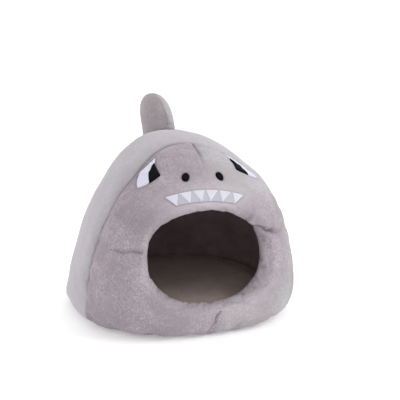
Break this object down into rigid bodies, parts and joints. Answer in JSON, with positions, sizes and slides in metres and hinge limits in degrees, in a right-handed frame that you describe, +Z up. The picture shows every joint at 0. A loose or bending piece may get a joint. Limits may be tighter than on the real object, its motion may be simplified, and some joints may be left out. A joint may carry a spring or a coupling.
{
  "type": "small pet bed",
  "caption": "Small padded dome bed for a small pet, with a round front opening in a rolled rim, an animal face, a stuffed fin on top and a loose cushion inside.",
  "frame": {"origin": "middle of the footprint, on the floor under the bed", "axes": "+Z up, the opening faces -Y, +X to the right seen from the front looking along +Y"},
  "size_m": [0.1205, 0.1185, 0.113],
  "materials": {
    "face_plush": "short pile",
    "roof_plush": "short pile",
    "base_cloth": "flat weave",
    "padding": "loose fibre",
    "foam": "soft foam",
    "lining": "short pile",
    "cushion_plush": "short pile",
    "white_thread": "satin stitch",
    "black_thread": "satin stitch",
    "grey_thread": "satin stitch"
  },
  "bodies": {
    "root": {"face_panel": "face_plush", "roof_panel": "roof_plush", "base_panel": "base_cloth", "face_padding": "padding", "roof_padding": "padding", "base_foam": "foam", "face_lining": "lining", "roof_lining": "lining", "floor_lining": "lining", "cushion_top_cover": "cushion_plush", "cushion_bottom_cover": "cushion_plush", "cushion_filling": "padding", "fin_left_panel": "roof_plush", "fin_right_panel": "roof_plush", "fin_stuffing": "padding", "eye_white_left": "white_thread", "eye_white_right": "white_thread", "pupil_left": "black_thread", "pupil_right": "black_thread", "nostril_left": "black_thread", "nostril_right": "black_thread", "mouth_band": "grey_thread", "tooth_1": "white_thread", "tooth_2": "white_thread", "tooth_3": "white_thread", "tooth_4": "white_thread", "tooth_5": "white_thread", "tooth_6": "white_thread"}
  },
  "joints": []
}
